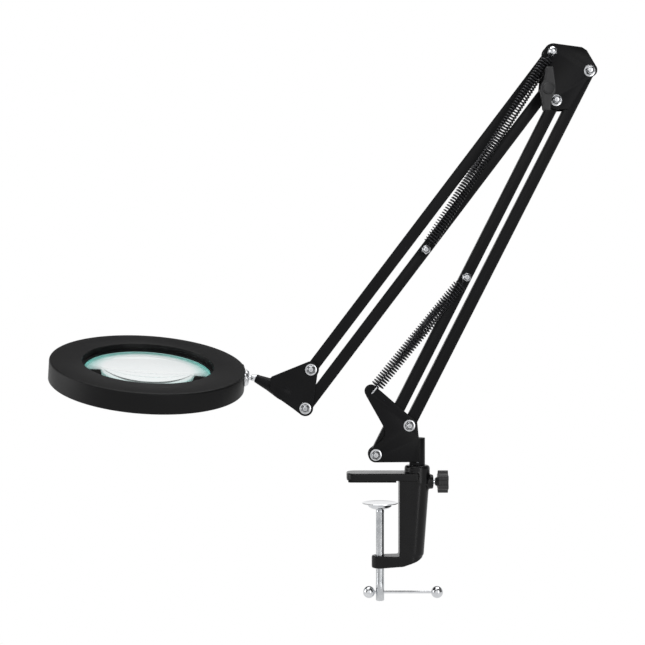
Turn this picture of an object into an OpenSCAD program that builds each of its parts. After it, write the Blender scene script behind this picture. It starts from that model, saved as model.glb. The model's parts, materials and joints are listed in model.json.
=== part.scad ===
// Clamp-on magnifying lamp: table clamp, swivel post, two parallelogram arms with
// balance springs, and a round lens head on a ball joint. Millimetres, +Z up.
// The origin is on the clamp screw's axis, at the upper jaw's clamping face.
// The arms lie in the XZ plane. -Y is the front of the lamp.

/* [Arms] */
// Distance between the pivots of a lower arm bar
lower_len = 383.7; // [200:0.1:450]
// Distance between the pivots of an upper arm bar
upper_len = 383.3; // [200:0.1:450]
// Lean of the lower arm above the horizontal, in degrees
lower_lean = 63.06; // [60:0.01:80]
// Slope of the upper arm below the horizontal, in degrees
upper_slope = 52.85; // [40:0.01:54]
// Width of the square arm tubes
bar_w = 11; // [9:0.5:11]
// Wall of the square arm tubes
bar_wall = 1; // [0.8:0.1:1.5]

/* [Brackets] */
// Distance between the two lower pivots, at the base and at the elbow
base_link = 43; // [42:0.1:46]
// Slope of the line through them, in degrees
base_link_slope = 41.2; // [38:0.1:44]
// Distance between the two upper pivots, at the elbow and at the head
elbow_link = 37.8; // [36:0.1:40]
// Slope of the line through them, in degrees
elbow_link_slope = 81.7; // [80:0.1:85]
// Thickness of the bracket sheet
sheet_t = 1.5; // [1.2:0.1:2]
// Gap between a bar and a bracket cheek
cheek_gap = 0.5; // [0.4:0.1:0.8]

/* [Springs] */
// Outer diameter of the balance springs
spring_od = 11.5; // [10:0.5:12]
// Diameter of the spring wire
wire_d = 1.3; // [1:0.1:1.6]
// Distance of the springs' axes from the middle plane
spring_y = 13.5; // [13:0.1:15]
// Pitch of the stretched coils
spring_pitch = 2.9; // [2.4:0.1:4]

/* [Head] */
// Outer diameter of the lens head
head_d = 189.2; // [180:0.1:200]
// Height of the lens head
head_h = 20.4; // [18:0.1:24]
// Diameter of the opening that shows the lens
opening_d = 127; // [120:1:130]
// Radius of curvature of both lens faces
lens_curve = 320; // [280:5:500]
// Number of lamps on the light ring
led_count = 48; // [24:4:60]
// Tilt of the head towards the front, in degrees
head_roll = 14.9; // [0:0.1:30]
// Tilt of the head away from the arm, in degrees
head_pitch = 6.1; // [0:0.1:8]

/* [Clamp] */
// Depth of the upper jaw from front to back
jaw_w = 32; // [28:1:36]
// Reach of the upper jaw to the left of the screw
jaw_reach = 32.5; // [28:0.5:36]
// Height of the throat between the jaw face and the screw arm
throat_h = 72; // [65:1:76]
// Distance between the screw's axis and the swivel post's axis
post_x = 36; // [34:0.5:38]
// Diameter of the clamp screw
screw_d = 8; // [8:0.5:10]
// Thickness of the table that the clamp is set to
table_t = 20.9; // [8:0.1:50]

/* [Hidden] */
$fn = 48;

function along(p, len, angle) = p + len * [cos(angle), sin(angle)];
function slope_of(p, q) = atan2(q[1] - p[1], q[0] - p[0]);

// Pivots, as [x, z]: the base pair, the lower arm's top pair, and the upper arm's two pairs
base_out = [28, 54.3];
base_in = along(base_out, -base_link, base_link_slope);
top_out = along(base_out, lower_len, lower_lean);
top_in = along(base_in, lower_len, lower_lean);
elbow_up = top_out + [-37.3, 17.4];
elbow_low = along(elbow_up, -elbow_link, elbow_link_slope);
head_up = along(elbow_up, -upper_len, upper_slope);
head_low = along(elbow_low, -upper_len, upper_slope);

// Spring anchors: the base bracket's tip, and the middle of a bar for each pair
spring_tip = base_in + [-3.9, 59.6];
lower_anchor = along(base_in, lower_len / 2, lower_lean);
upper_anchor = along(elbow_low, -upper_len / 2, upper_slope);
spring_r = (spring_od - wire_d) / 2;
wire_r = wire_d / 2;
hook_len = 9;
eye_r = 3.5;

// Layers from the middle plane outwards
bar_y = bar_w / 2;
cheek_in = bar_y + cheek_gap;
cheek_out = cheek_in + sheet_t;
washer_t = 1;
nut_h = 4.6;
nut_y = cheek_out + washer_t;
bolt_end = nut_y + nut_h + 0.3;

// Fasteners: M5 bolts, washers and nuts
bolt_r = 2.5;
run_gap = 0.06;
bush_r = 3.5;
washer_r = 5.6;
nut_r = 4.62;
head_t = 3;
end_r = 6.2;

// Draws a 2D shape, given as x and z, from y0 to y1
module across(y0, y1) {
    translate([0, y1, 0]) rotate([90, 0, 0]) linear_extrude(y1 - y0) children();
}

// Rod along Y through the point p, from y0 to y1
module rod(p, r, y0, y1, sides = 48) {
    translate([p[0], y1, p[1]]) rotate([90, 0, 0]) cylinder(r = r, h = y1 - y0, $fn = sides);
}

// Hollow rod along Y through the point p
module tube(p, r, hole_r, y0, y1, sides = 48) {
    difference() {
        rod(p, r, y0, y1, sides);
        rod(p, hole_r, y0 - 1, y1 + 1);
    }
}

// Moves children from their own frame to the point p, turned to run along the slope
module along_line(p, slope, y = 0) {
    translate([p[0], y, p[1]]) rotate([0, -slope, 0]) children();
}

// ---- Clamp ----

pad_t = 1.5;
jaw_t = 7.2;
arm_t = 12;
column_left = 18.2;
column_r = 12.3;
column_tilt = 5;
collar_top = 15.5;
boss_z = -0.6;
boss_end = 51.6;
post_r = 6;
post_bottom = -32;
clamp_low = -throat_h - arm_t;

// Outline of the upper jaw seen from above, with round front and back corners
module jaw_outline(r = 9) {
    half = jaw_w / 2;
    translate([r - jaw_reach, -half]) square([post_x - r + jaw_reach, jaw_w]);
    translate([-jaw_reach, r - half]) square([2 * r, jaw_w - 2 * r]);
    for (side = [-1, 1]) translate([r - jaw_reach, side * (half - r)]) circle(r);
}

// The column leans in towards its foot, and its back is half round
module column() {
    intersection() {
        translate([column_left, -column_r, clamp_low]) cube([40, 2 * column_r, pad_t + jaw_t - clamp_low]);
        union() {
            translate([post_x, 0, 8]) rotate([0, column_tilt, 0])
                translate([0, 0, -110]) cylinder(r = column_r, h = 130);
            translate([0, -column_r, clamp_low]) cube([28, 2 * column_r, 110]);
        }
    }
}

// The arm that carries the screw, with a sloping underside
module screw_arm() {
    intersection() {
        across(-20, 20) polygon([
            [-10, -throat_h], [20, -throat_h], [44, -66], [44, -72],
            [35, -77], [22, -81.5], [0, clamp_low], [-10, clamp_low]
        ]);
        translate([0, 0, clamp_low]) linear_extrude(30) union() {
            circle(8.2);
            polygon([[0, -8.2], [24, -column_r], [24, column_r], [0, 8.2]]);
            translate([23.9, 0]) square([10, 2 * column_r], center = true);
            translate([28.9, 0]) circle(column_r);
        }
    }
}

module clamp_body() {
    color("#1c1c1d") difference() {
        union() {
            translate([0, 0, pad_t]) linear_extrude(jaw_t) jaw_outline();
            intersection() {
                column();
                union() {
                    translate([0, -20, -throat_h - 0.01]) cube([60, 40, 120]);
                    screw_arm();
                }
            }
            screw_arm();
            translate([post_x, 0, -2]) cylinder(r = column_r, h = collar_top + 0.5);
            translate([post_x, 0, collar_top - 1.5]) cylinder(r1 = column_r, r2 = column_r - 1.5, h = 1.5);
            translate([post_x, 0, boss_z]) rotate([0, 90, 0]) cylinder(r = 7, h = boss_end - post_x);
        }
        translate([post_x, 0, post_bottom - 1]) cylinder(r = post_r + run_gap, h = 80);
        translate([post_x, 0, boss_z]) rotate([0, 90, 0]) cylinder(r = bolt_r + run_gap, h = 30);
        translate([0, 0, clamp_low - 1]) cylinder(r = screw_d / 2 + run_gap, h = 30);
    }
}

module jaw_pad() {
    color("#202022") intersection() {
        linear_extrude(pad_t) jaw_outline(8);
        translate([-31, -14.5, 0]) cube([46, 29, pad_t]);
    }
}

// ---- Clamp screw ----

pad_top = -table_t;
pad_r = 17.4;
pad_h = 6.4;
spigot_r = 3;
spigot_top = pad_top - 1.9;
screw_end = -116;
tommy_z = -107.7;
tommy_r = 1.35;
tommy_left = -10.7;
tommy_right = 55.3;
ball_r = 5.8;

module pressure_pad() {
    color("#c9ccd0") translate([0, 0, pad_top]) rotate_extrude() difference() {
        polygon([
            [0, 0], [pad_r - 0.3, 0], [pad_r, -0.3], [pad_r, -0.9], [12.6, -1.5],
            [11.4, -3.6], [8.4, -5.6], [5.4, -pad_h], [0, -pad_h]
        ]);
        translate([-1, -10]) square([spigot_r + run_gap + 1, 8.2]);
    }
}

module clamp_screw() {
    neck_z = pad_top - pad_h - 0.3;
    color("#b9bcc0") difference() {
        union() {
            translate([0, 0, screw_end + 1]) cylinder(d = screw_d, h = neck_z - screw_end - 1);
            translate([0, 0, screw_end]) cylinder(r1 = screw_d / 2 - 1, r2 = screw_d / 2, h = 1);
            translate([0, 0, neck_z - 0.1]) cylinder(r = spigot_r, h = spigot_top - neck_z + 0.1);
        }
        translate([-10, 0, tommy_z]) rotate([0, 90, 0]) cylinder(r = tommy_r + run_gap, h = 20);
    }
}

module tommy_bar() {
    color("#c4c7cb") translate([tommy_left, 0, tommy_z]) rotate([0, 90, 0])
        cylinder(r = tommy_r, h = tommy_right - tommy_left);
}

module tommy_balls() {
    color("#cfd2d6") difference() {
        for (x = [tommy_left, tommy_right]) translate([x, 0, tommy_z]) sphere(ball_r);
        translate([tommy_left, 0, tommy_z]) rotate([0, 90, 0])
            cylinder(r = tommy_r, h = tommy_right - tommy_left);
    }
}

// ---- Lock screw ----

knob_x0 = 55.9;
knob_x1 = 65.8;
knob_r = 10.9;
lock_x0 = post_x + post_r + 0.1;
lock_x1 = knob_x1 - 2;

module lock_screw() {
    color("#b9bcc0") translate([lock_x0, 0, boss_z]) rotate([0, 90, 0])
        cylinder(r = bolt_r, h = lock_x1 - lock_x0);
}

module lock_knob(lobes = 6) {
    color("#2a2b2d") translate([0, 0, boss_z]) rotate([0, 90, 0]) difference() {
        union() {
            translate([0, 0, knob_x0]) linear_extrude(knob_x1 - knob_x0) {
                circle(knob_r - 2.3);
                for (k = [0 : lobes - 1]) rotate(k * 360 / lobes) translate([knob_r - 2.9, 0]) circle(2.9);
            }
            translate([0, 0, knob_x0 - 2.6]) cylinder(r1 = 3.4, r2 = 5, h = 2.8);
        }
        translate([0, 0, lock_x0]) cylinder(r = bolt_r, h = lock_x1 - lock_x0);
    }
}

// ---- Swivel base ----

sleeve_r = 7.6;
sleeve_top = 42;
sleeve_low = collar_top + 0.1;
base_floor = 19;

module base_outline() {
    difference() {
        union() {
            translate(spring_tip + [-0.2, 1.4]) circle(6.4);
            translate(base_in) circle(7.3);
            polygon([
                [-2.4, 90.0], base_out + [-1.3, 10.5], base_out + [7.6, 3.4], [37.2, 41.9],
                [37.2, base_floor], base_in + [-0.4, -7.3], base_in + [-5.2, 5.1],
                [1.9, 40.6], [4.4, 44.4], [4.6, 48.5], [2.8, 53.6], [-13.3, 82.2]
            ]);
        }
        translate([31, base_floor - 2.4]) circle(3);
    }
}

module base_bracket() {
    color("#232324") difference() {
        union() {
            for (side = [-1, 1])
                across(min(side * cheek_in, side * cheek_out), max(side * cheek_in, side * cheek_out))
                    base_outline();
            translate([8, -cheek_out, base_floor + 0.6]) cube([18, 2 * cheek_out, sheet_t]);
        }
        rod(base_out, bolt_r, -20, 20);
        rod(base_in, bolt_r, -20, 20);
        rod(spring_tip, wire_r + run_gap, -20, 20);
    }
}

// The post's head is milled flat on both sides to sit between the cheeks
module base_sleeve() {
    color("#1f1f20") difference() {
        translate([post_x, 0, sleeve_low]) cylinder(r = sleeve_r, h = sleeve_top - sleeve_low);
        for (side = [-1, 1]) translate([post_x - 10, side * 12.45 - 6.5, base_floor - 0.6])
            cube([11.3, 13, 40]);
        translate([post_x, 0, 0]) cylinder(r = post_r, h = sleeve_top - 4);
    }
}

module base_post() {
    color("#9a9da1") translate([post_x, 0, post_bottom])
        cylinder(r = post_r, h = sleeve_top - 4 - post_bottom);
}

// ---- Fasteners at the pivots ----

// Bolt with a round head at the back, its end standing out of the nut in front
module pivot_bolt(p, front = bolt_end) {
    rod(p, bolt_r, -front, cheek_out + 0.5);
    rod(p, nut_r, cheek_out, cheek_out + head_t);
}

module pivot_nut(p) {
    tube(p, nut_r, bolt_r, -nut_y - nut_h, -nut_y, 6);
}

module pivot_washer(p) {
    tube(p, washer_r, bolt_r + 0.1, -nut_y, -cheek_out);
}

module base_bolts() {
    color("#b5b8bc") for (p = [base_out, base_in]) pivot_bolt(p);
}

module base_nuts() {
    color("#c3c6ca") for (p = [base_out, base_in]) pivot_nut(p);
}

module base_washers() {
    color("#d4d6d9") for (p = [base_out, base_in]) pivot_washer(p);
}

// ---- Arm bars ----

// Square tube between two pivots, its ends rounded about them, with bush holes
module arm_bar(p, slope, len, anchor = 0) {
    along_line(p, slope) difference() {
        intersection() {
            translate([-end_r, -bar_y, -bar_y]) cube([len + 2 * end_r, bar_w, bar_w]);
            union() {
                translate([0, -bar_y, -bar_y]) cube([len, bar_w, bar_w]);
                for (x = [0, len]) rod([x, 0], end_r, -bar_y, bar_y);
            }
        }
        translate([-end_r - 1, -bar_y + bar_wall, -bar_y + bar_wall])
            cube([len + 2 * end_r + 2, bar_w - 2 * bar_wall, bar_w - 2 * bar_wall]);
        for (x = [0, len]) rod([x, 0], bush_r, -20, 20);
        if (anchor > 0) rod([anchor, 0], bolt_r, -20, 20);
    }
}

// Steel tubes that keep the bar's walls apart and turn on the bolts
module arm_bushes(p, q) {
    for (c = [p, q]) tube(c, bush_r, bolt_r + run_gap, -cheek_in + 0.1, cheek_in - 0.1);
}

module lower_outer_bar() {
    color("#1d1d1e") arm_bar(base_out, lower_lean, lower_len);
}

module lower_outer_bushes() {
    color("#a9acb0") arm_bushes(base_out, top_out);
}

module lower_inner_bar() {
    color("#1d1d1e") arm_bar(base_in, lower_lean, lower_len, lower_len / 2);
}

module lower_inner_bushes() {
    color("#a9acb0") arm_bushes(base_in, top_in);
}

// ---- Spring anchor bolts ----

anchor_end = spring_y + wire_r + 0.5;

module anchor_bolt(p) {
    rod(p, bolt_r, -anchor_end - nut_h, anchor_end + 0.5);
    rod(p, nut_r, anchor_end, anchor_end + head_t, 6);
}

// Spacers between the bar and the spring eyes
module anchor_spacers(p) {
    tube(p, 4, bolt_r, -spring_y + wire_r + 0.3, -bar_y);
    tube(p, 4, bolt_r, bar_y, spring_y - wire_r - 0.3);
}

module anchor_nut(p) {
    tube(p, nut_r, bolt_r, -anchor_end - nut_h + 0.6, -anchor_end, 6);
}

module lower_spring_bolt() {
    color("#b5b8bc") anchor_bolt(lower_anchor);
}

module lower_spring_spacers() {
    color("#8f9296") anchor_spacers(lower_anchor);
}

module lower_spring_nut() {
    color("#c3c6ca") anchor_nut(lower_anchor);
}

// ---- Springs ----

// Coil drawn as one ring to each turn on a thin wall, from start to end along the line p to q
module coil(p, q, start, end, y) {
    run = norm(q - p) - start - end;
    turns = floor(run / spring_pitch);
    pitch = run / turns;
    along_line(p, slope_of(p, q), y) translate([start, 0, 0]) rotate([0, 90, 0]) rotate_extrude() {
        translate([spring_r - 0.2, 0]) square([0.4, run]);
        for (k = [0 : turns - 1]) translate([spring_r, (k + 0.5) * pitch]) circle(wire_r, $fn = 8);
    }
}

// Eye that closes round an anchor bolt
module eye_ring(p, y) {
    translate([p[0], y, p[1]]) rotate([90, 0, 0]) rotate_extrude()
        translate([eye_r, 0]) circle(wire_r, $fn = 16);
}

// Straight wire from an eye at p to the coil's closed end, towards q
module spring_tail(p, q, y, start = eye_r) {
    along_line(p, slope_of(p, q), y) rotate([0, 90, 0]) {
        translate([0, 0, start]) cylinder(r = wire_r, h = hook_len - start, $fn = 16);
        translate([0, 0, hook_len - 0.1]) cylinder(r = spring_r - 0.6, h = 0.8);
    }
}

// Hook whose leg passes through the bracket's hole
module spring_hook(p, q, side) {
    tip = side * (cheek_in - 0.3);
    rod(p, wire_r, min(tip, side * spring_y), max(tip, side * spring_y), 24);
    along_line(p, slope_of(p, q), side * spring_y) {
        sphere(wire_r, $fn = 24);
        rotate([0, 90, 0]) cylinder(r = wire_r, h = hook_len - 0.1, $fn = 16);
        translate([hook_len - 0.1, 0, 0]) rotate([0, 90, 0]) cylinder(r = spring_r - 0.6, h = 0.8);
    }
}

module lower_spring_front() {
    color("#141415") coil(spring_tip, lower_anchor, hook_len, hook_len, -spring_y);
}

module lower_spring_back() {
    color("#141415") coil(spring_tip, lower_anchor, hook_len, hook_len, spring_y);
}

module lower_spring_hooks() {
    color("#c3c6ca") for (side = [-1, 1]) spring_hook(spring_tip, lower_anchor, side);
}

module lower_spring_eyes() {
    color("#141415") for (side = [-1, 1]) eye_ring(lower_anchor, side * spring_y);
}

module lower_spring_tails() {
    color("#141415") for (side = [-1, 1])
        spring_tail(lower_anchor, spring_tip, side * spring_y, eye_r + wire_r + 0.1);
}

// ---- Elbow ----

cap_end = spring_y + 7.5;

module elbow_outline() {
    translate(elbow_up + [2.3, 0.1]) circle(9.2);
    translate(elbow_low + [3.1, 3.2]) circle(7.6);
    translate(top_in + [1, 0.9]) circle(9.8);
    translate(top_out + [0.9, 1]) circle(6.6);
    polygon([
        elbow_up + [-6.9, 0.1], elbow_up + [3.5, 9.2], top_out + [-7.3, 23], top_out + [-2.6, 19.9],
        top_out + [7.1, 3.4], top_out + [6.6, -2.2], top_out + [-3.7, -10.3], top_in + [12.2, -8.3],
        top_in + [-0.5, -8.8], top_in + [-4.4, -7.3], elbow_low + [-4.5, 0.6], elbow_low + [-4.5, 3.2]
    ]);
}

module elbow_bracket() {
    web = elbow_up + [12, 8];
    color("#232324") difference() {
        union() {
            for (side = [-1, 1])
                across(min(side * cheek_in, side * cheek_out), max(side * cheek_in, side * cheek_out))
                    elbow_outline();
            along_line(web, -7.6) translate([0, -cheek_out, -sheet_t]) cube([16, 2 * cheek_out, sheet_t]);
        }
        for (p = [elbow_up, elbow_low, top_in, top_out]) rod(p, bolt_r, -20, 20);
    }
}

module elbow_bolts() {
    color("#b5b8bc") {
        for (p = [top_in, top_out]) pivot_bolt(p);
        rod(elbow_up, bolt_r, -cap_end + 2, cap_end - 3);
        rod(elbow_up, nut_r, cap_end - 4, cap_end - 1, 6);
    }
}

module elbow_nuts() {
    color("#c3c6ca") for (p = [top_in, top_out]) pivot_nut(p);
}

// Washers on the two lower pivots, and spacers under the springs' upper eyes
module elbow_washers() {
    color("#d4d6d9") {
        for (p = [top_in, top_out]) pivot_washer(p);
        tube(elbow_up, 4, bolt_r, -spring_y + wire_r + 0.3, -cheek_out);
        tube(elbow_up, 4, bolt_r, cheek_out, spring_y - wire_r - 0.3);
    }
}

module elbow_cap_nut() {
    color("#dadcdf") difference() {
        union() {
            rod(elbow_up, nut_r, -anchor_end - 3.4, -anchor_end, 6);
            intersection() {
                translate([elbow_up[0], -anchor_end - 2.6, elbow_up[1]]) sphere(4.3);
                rod(elbow_up, 6, -anchor_end - 8, -anchor_end - 2);
            }
        }
        rod(elbow_up, bolt_r, -cap_end + 2, 0);
    }
}

// ---- Wing knob that locks the elbow ----

wing_y0 = cheek_out + 0.6;
wing_y1 = wing_y0 + 17.5;
wing_span = 41.5;

module wing_bolt() {
    color("#b5b8bc") {
        rod(elbow_low, bolt_r, -wing_y1 + 4, cheek_out + 0.5);
        rod(elbow_low, nut_r, cheek_out, cheek_out + head_t);
    }
}

module wing_insert() {
    color("#b08d3a") tube(elbow_low, 3.9, bolt_r + run_gap, -wing_y1 + 6, -wing_y0);
}

module wing_knob() {
    color("#28292b") along_line(elbow_low, 94) difference() {
        union() {
            rod([0, 0], 6.2, -wing_y1, -wing_y0);
            intersection() {
                rod([0, 0], wing_span / 2, -wing_y1 - 1, -wing_y1 + 6.5);
                union() {
                    rod([0, 0], 7.3, -wing_y1 - 1, -wing_y1 + 6.5);
                    across(-wing_y1 - 1, -wing_y1 + 6.5) for (side = [-1, 1])
                        polygon([[0, -7.2], [side * 14, -3.6], [side * 22, -3.2],
                            [side * 22, 3.2], [side * 14, 3.6], [0, 7.2]]);
                }
            }
        }
        rod([0, 0], 3.9, -wing_y1 + 6, 0);
        rod([0, 0], bolt_r + run_gap, -wing_y1 + 3, 0);
    }
}

// ---- Upper arm ----

module upper_top_bar() {
    color("#1d1d1e") arm_bar(head_up, upper_slope, upper_len);
}

module upper_top_bushes() {
    color("#a9acb0") arm_bushes(head_up, elbow_up);
}

module upper_bottom_bar() {
    color("#1d1d1e") arm_bar(head_low, upper_slope, upper_len, upper_len / 2);
}

module upper_bottom_bushes() {
    color("#a9acb0") arm_bushes(head_low, elbow_low);
}

module upper_spring_bolt() {
    color("#b5b8bc") anchor_bolt(upper_anchor);
}

module upper_spring_spacers() {
    color("#8f9296") anchor_spacers(upper_anchor);
}

module upper_spring_nut() {
    color("#c3c6ca") anchor_nut(upper_anchor);
}

module upper_spring_front() {
    color("#141415") coil(elbow_up, upper_anchor, hook_len, hook_len, -spring_y);
}

module upper_spring_back() {
    color("#141415") coil(elbow_up, upper_anchor, hook_len, hook_len, spring_y);
}

module upper_spring_top_eyes() {
    color("#141415") for (side = [-1, 1]) {
        eye_ring(elbow_up, side * spring_y);
        spring_tail(elbow_up, upper_anchor, side * spring_y);
    }
}

module upper_spring_low_eyes() {
    color("#141415") for (side = [-1, 1]) eye_ring(upper_anchor, side * spring_y);
}

module upper_spring_tails() {
    color("#141415") for (side = [-1, 1])
        spring_tail(upper_anchor, elbow_up, side * spring_y, eye_r + wire_r + 0.1);
}

// ---- Head bracket ----

stem_z = 100.0;
nose_x = -121.3;
nose_slope = -24;
stem_r = 3;
nose = [nose_x + 0.6, stem_z - 0.2];

module bracket_outline() {
    translate(head_up) circle(7.8);
    translate(head_low) circle(7.6);
    polygon([
        nose + [15, 1.2], head_up + [-3.5, 7.0], head_up + [7.3, 2.7], head_low + [7.6, 2],
        head_low + [-4.3, -6.3], nose + [13.2, -11.4]
    ]);
}

// Spout that the two cheeks are drawn together into
module spout(wall = 0) {
    along_line(nose, nose_slope) rotate([0, 90, 0]) rotate_extrude() polygon([
        [0, 0], [3.6 - wall, 0], [4.1 - wall, 0.6], [8 - wall, 24], [8 - wall, 29], [7.6 - wall, 35],
        [6.2 - wall, 41], [0, 41]
    ]);
}

module head_bracket() {
    web = head_low + [-6.3, -4.4];
    color("#1e1e1f") difference() {
        union() {
            for (side = [-1, 1])
                across(min(side * cheek_in, side * cheek_out), max(side * cheek_in, side * cheek_out))
                    bracket_outline();
            spout();
            along_line(web, 144.6) translate([4, -cheek_out, -sheet_t]) cube([26, 2 * cheek_out, sheet_t]);
        }
        intersection() {
            spout(1.4);
            translate([nose_x + 13, -10, 0]) cube([60, 20, 200]);
        }
        translate([nose_x + 24, -cheek_in, stem_z - 60]) cube([40, 2 * cheek_in, 62]);
        translate([nose_x - 2, 0, stem_z]) rotate([0, 90, 0]) cylinder(r = stem_r + run_gap, h = 17);
        for (p = [head_up, head_low]) rod(p, bolt_r, -20, 20);
    }
}

module bracket_bolts() {
    color("#b5b8bc") for (p = [head_up, head_low]) pivot_bolt(p);
}

module bracket_nuts() {
    color("#c3c6ca") for (p = [head_up, head_low]) pivot_nut(p);
}

module bracket_washers() {
    color("#d4d6d9") for (p = [head_up, head_low]) pivot_washer(p);
}

// ---- Ball joint and lens head ----

ball = [-131.2, 0, stem_z];
joint_r = 4.5;
neck_r = 2.3;
head_r = head_d / 2;
ball_in = 0.3;
ball_up = 5.1;
lens_r = 62.8;
lens_edge = 3;
tube_r = opening_d / 2;
wall_t = 2;
edge_r = 2;

// Places the head's own frame: its centre is the middle of the ring, its X runs to the ball
module head_frame() {
    translate(ball) rotate([head_roll, head_pitch, 0]) translate([ball_in - head_r, 0, -ball_up]) children();
}

module ball_stem() {
    color("#d5d7da") {
        translate(ball) sphere(joint_r);
        translate(ball) rotate([0, 90, 0]) cylinder(r = neck_r, h = 8);
        translate(ball + [6.3, 0, 0]) rotate([0, 90, 0])
            cylinder(r = stem_r, h = nose_x + 13 - ball[0] - 6.3);
    }
}

// Chrome cup that holds the ball against the head's socket
module ball_cup() {
    color("#dfe1e4") head_frame() translate([head_r - ball_in, 0, ball_up]) rotate([0, 90, 0])
        rotate_extrude() polygon([
            [4.9, 0.7], [8.3, 0.7], [8.3, 1.6], [7.2, 3.2], [5.6, 4.2],
            [3.9, 4.3], [3.9, 3.3], [4.62, 2.2]
        ]);
}

module head_housing() {
    half = head_h / 2;
    color("#222223") head_frame() difference() {
        union() {
            rotate_extrude($fn = 96) difference() {
                union() {
                    translate([tube_r, -half + 0.6]) square([head_r - tube_r - edge_r, head_h - 0.6]);
                    translate([tube_r, -half + 0.6]) square([head_r - tube_r, head_h - edge_r - 0.6]);
                    translate([head_r - edge_r, half - edge_r]) circle(edge_r);
                }
                translate([tube_r + wall_t, -half - 1]) square([head_r - tube_r - 2 * wall_t, head_h - 1.2]);
            }
            rotate_extrude() translate([60.9, 2.2]) square([tube_r - 60.8, 1.6]);
            intersection() {
                translate([head_r - 13, 0, ball_up]) rotate([0, 90, 0]) cylinder(r = 6.2, h = 13.2);
                translate([0, -10, -half]) cube([head_r + 0.1, 20, head_h - 0.2]);
            }
            for (a = [45 : 90 : 315]) rotate(a) translate([head_r - 6, 0, -half + 2.6])
                cylinder(r = 2.6, h = head_h - 4);
        }
        translate([head_r - ball_in, 0, ball_up]) sphere(joint_r + run_gap);
        translate([head_r - ball_in, 0, ball_up]) rotate([0, 90, 0]) cylinder(r = joint_r + run_gap, h = 5);
        translate([head_r + 0.1, -12, -12]) cube([4, 24, 24]);
        for (a = [45 : 90 : 315]) rotate(a) translate([head_r - 6, 0, -half]) cylinder(r = 1.2, h = 12);
        rotate(28) translate([head_r - 5, 0, 0]) rotate([0, 90, 0]) cylinder(r = 4, h = 8);
    }
}

// Biconvex lens with a cylindrical edge
module lens() {
    depth = sqrt(pow(lens_curve, 2) - pow(lens_r, 2)) - lens_edge / 2;
    color("#bfe3df", 0.4) head_frame() rotate_extrude($fn = 96) intersection() {
        translate([0, -depth]) circle(lens_curve, $fn = 720);
        translate([0, depth]) circle(lens_curve, $fn = 720);
        translate([0, -20]) square([lens_r, 40]);
    }
}

// White ring that holds the lens against its ledge and lines the tube
module lens_ring() {
    color("#e8e8e5") head_frame() translate([0, 0, -9.3]) difference() {
        cylinder(r = tube_r - 0.1, h = 6, $fn = 96);
        translate([0, 0, -1]) cylinder(r = 60.5, h = 8, $fn = 96);
    }
}

module led_board() {
    color("#e9e9e6") head_frame() translate([0, 0, -4.6]) difference() {
        cylinder(r = 86.5, h = 1.6, $fn = 96);
        translate([0, 0, -1]) cylinder(r = 67, h = 4, $fn = 96);
    }
}

module leds() {
    color("#f3e6a4") head_frame() for (k = [0 : led_count - 1])
        rotate(k * 360 / led_count) translate([76.6 - 1.4, -1.75, -5.4]) cube([2.8, 3.5, 0.8]);
}

// Milky ring that closes the underside and spreads the light
module diffuser() {
    half = head_h / 2;
    color("#f4f4f1") head_frame() difference() {
        rotate_extrude($fn = 96) union() {
            translate([tube_r + wall_t + 0.2, -half]) square([head_r - tube_r - 2 * wall_t - 0.4, 1.8]);
            translate([tube_r + wall_t + 0.2, -half]) square([1.2, 4]);
        }
        for (a = [45 : 90 : 315]) rotate(a) translate([head_r - 6, 0, -half - 1]) cylinder(r = 1.3, h = 8);
    }
}

module head_screws() {
    half = head_h / 2;
    color("#55575a") head_frame() for (a = [45 : 90 : 315]) rotate(a) translate([head_r - 6, 0, -half]) {
        cylinder(r = 1.2, h = 9);
        translate([0, 0, -1.2]) cylinder(r = 2.4, h = 1.2);
    }
}

module cord_gland() {
    color("#18181a") head_frame() rotate(28) translate([head_r - 5, 0, 0]) rotate([0, 90, 0]) difference() {
        union() {
            cylinder(r = 4, h = 5);
            translate([0, 0, 5.1]) cylinder(r1 = 5.2, r2 = 4.2, h = 6);
            translate([0, 0, 4.9]) cylinder(r = 4, h = 0.4);
        }
        translate([0, 0, -1]) cylinder(r = 2.6, h = 14);
    }
}

clamp_body();
jaw_pad();
pressure_pad();
clamp_screw();
tommy_bar();
tommy_balls();
lock_screw();
lock_knob();
base_bracket();
base_sleeve();
base_post();
base_bolts();
base_nuts();
base_washers();
lower_outer_bar();
lower_outer_bushes();
lower_inner_bar();
lower_inner_bushes();
lower_spring_bolt();
lower_spring_spacers();
lower_spring_nut();
lower_spring_front();
lower_spring_back();
lower_spring_hooks();
lower_spring_eyes();
lower_spring_tails();
elbow_bracket();
elbow_bolts();
elbow_nuts();
elbow_washers();
elbow_cap_nut();
wing_bolt();
wing_knob();
wing_insert();
upper_top_bar();
upper_top_bushes();
upper_bottom_bar();
upper_bottom_bushes();
upper_spring_bolt();
upper_spring_spacers();
upper_spring_nut();
upper_spring_front();
upper_spring_back();
upper_spring_top_eyes();
upper_spring_low_eyes();
upper_spring_tails();
head_bracket();
bracket_bolts();
bracket_nuts();
bracket_washers();
ball_stem();
ball_cup();
head_housing();
lens();
lens_ring();
led_board();
leds();
diffuser();
head_screws();
cord_gland();
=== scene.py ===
"""Clamp-on magnifying lamp: a round lens head on two sprung parallelogram arms."""
import json
from math import asin, cos, pi, radians, sin, sqrt, tan

import bpy
from mathutils import Matrix, Vector


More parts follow.
